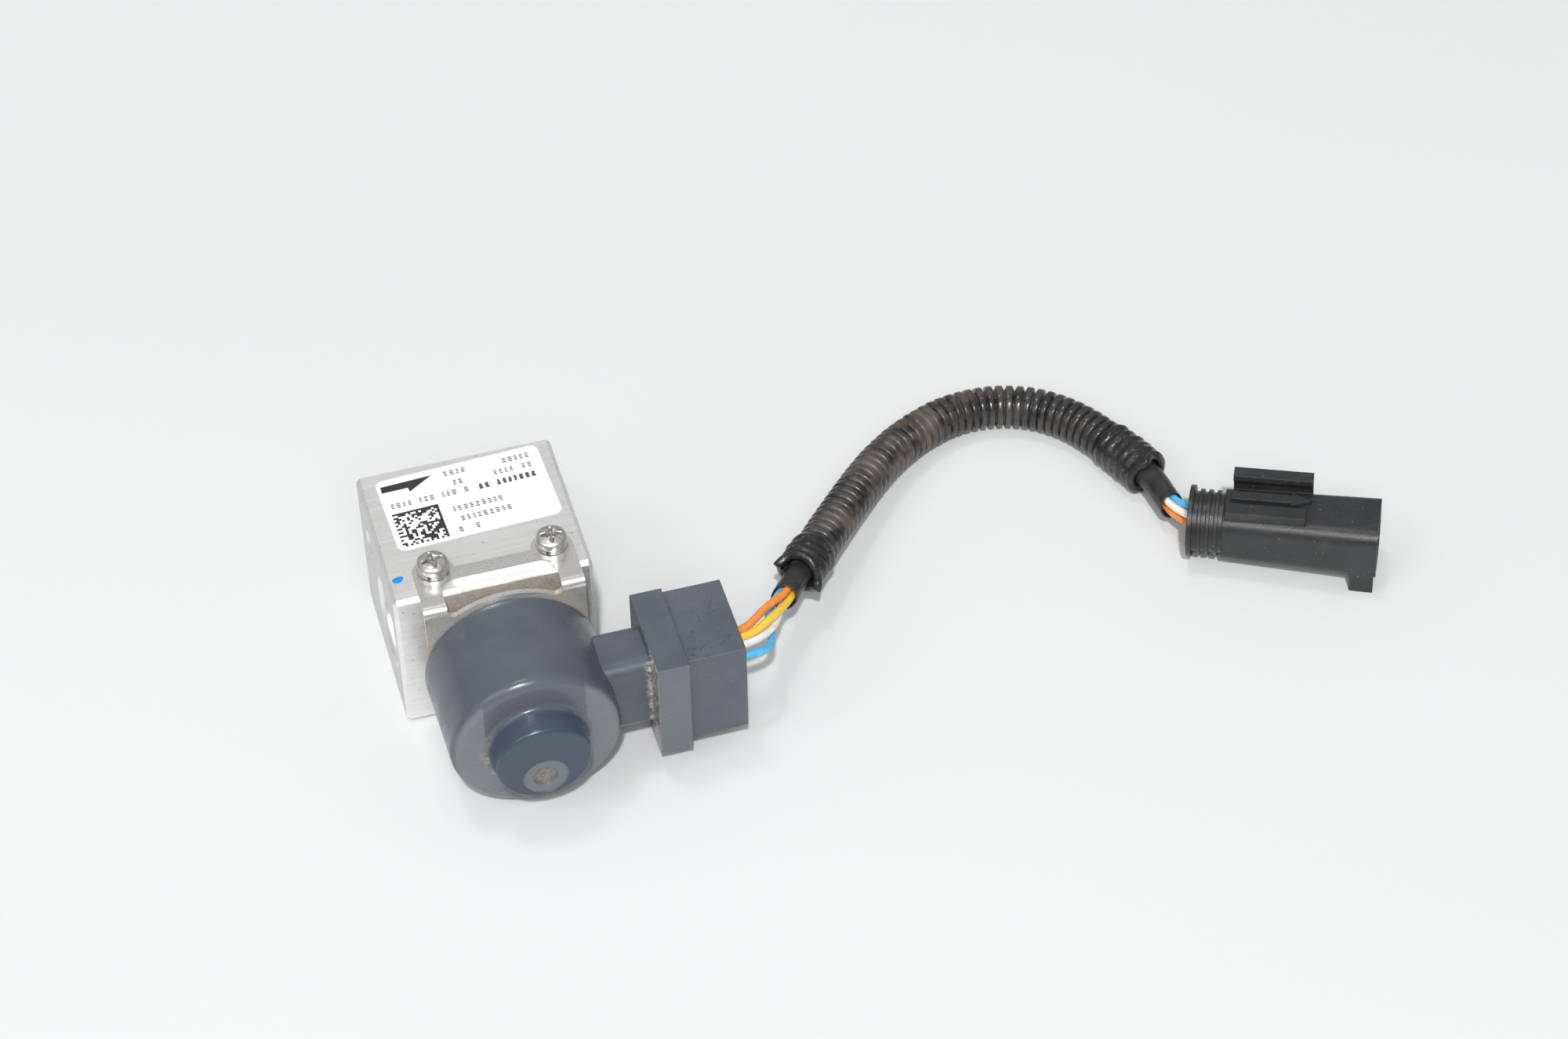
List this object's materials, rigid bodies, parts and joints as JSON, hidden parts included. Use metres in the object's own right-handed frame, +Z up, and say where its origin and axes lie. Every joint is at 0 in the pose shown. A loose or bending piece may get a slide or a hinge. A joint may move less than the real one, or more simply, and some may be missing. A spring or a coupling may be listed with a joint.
{
  "type": "expansion valve",
  "caption": "Motor-driven refrigerant expansion valve: drilled metal block, round coil on a sheet bracket, terminal box and short corrugated wire lead with plug.",
  "frame": {"origin": "centre of the block's bottom face, on the surface it stands on", "axes": "+X along the flow towards the lead, +Y away from the coil, +Z up"},
  "size_m": [0.2253, 0.0951, 0.0436],
  "materials": {
    "machined_aluminium": "milled, fine lines along X",
    "stainless": "satin",
    "screw_steel": "satin",
    "zinc_plated_steel": "satin",
    "brass": "machined",
    "o_ring": "matte",
    "bobbin_plastic": "matte",
    "copper_winding": "enamelled copper",
    "coil_plastic": "satin moulded",
    "box_plastic": "satin moulded",
    "tinned_pins": "tinned",
    "potting_resin": "cast",
    "label_white": "printed film",
    "wire_orange": "insulation",
    "wire_yellow": "insulation",
    "wire_white": "insulation",
    "wire_blue": "insulation",
    "conduit_black": "satin",
    "sleeve_black": "satin",
    "tape_black": "glossy tape",
    "seal_black": "matte",
    "plug_black": "satin moulded",
    "rotor_plastic": "moulded",
    "magnet_grey": "sintered"
  },
  "bodies": {
    "housing": {"valve_body": "machined_aluminium", "valve_seat": "brass", "can_base": "stainless", "base_o_ring": "o_ring", "guide_bush": "brass", "stop_ring": "stainless", "rotor_can": "stainless", "yoke_rear_cup": "zinc_plated_steel", "yoke_rear_plate": "zinc_plated_steel", "yoke_front_plate": "zinc_plated_steel", "yoke_front_cup": "zinc_plated_steel", "bobbin_rear": "bobbin_plastic", "bobbin_front": "bobbin_plastic", "winding_rear": "copper_winding", "winding_front": "copper_winding", "coil_housing": "coil_plastic", "contact_pins": "tinned_pins", "terminal_box": "box_plastic", "potting": "potting_resin", "bracket": "stainless", "bracket_screws": "screw_steel", "spring_washers": "screw_steel", "flat_washers": "screw_steel", "label": "label_white", "wire_orange": "wire_orange", "wire_yellow": "wire_yellow", "wire_white": "wire_white", "wire_blue": "wire_blue", "conduit": "conduit_black", "sleeve_box_end": "sleeve_black", "sleeve_plug_end": "sleeve_black", "tape_box_end": "tape_black", "tape_plug_end": "tape_black", "plug_rear_seal": "seal_black", "plug_housing": "plug_black", "plug_terminals": "tinned_pins"},
    "needle": {"valve_needle": "stainless", "needle_spring": "stainless", "needle_clip": "stainless"},
    "rotor": {"rotor_hub": "rotor_plastic", "rotor_magnet": "magnet_grey"}
  },
  "joints": [
    {"name": "needle_slide", "type": "slide", "parent": "housing", "child": "needle", "axis": [0, -1, 0], "range_m": [0, 0.0025]},
    {"name": "rotor_spin", "type": "hinge", "parent": "needle", "child": "rotor", "pos_m": [0.0013, -0.035, 0.0193], "axis": [0, -1, 0], "range_deg": [0, 1800]}
  ],
  "couplings": [
    {"joint": "needle_slide", "follows": "rotor_spin", "m_per_rad": 0.000079577}
  ]
}
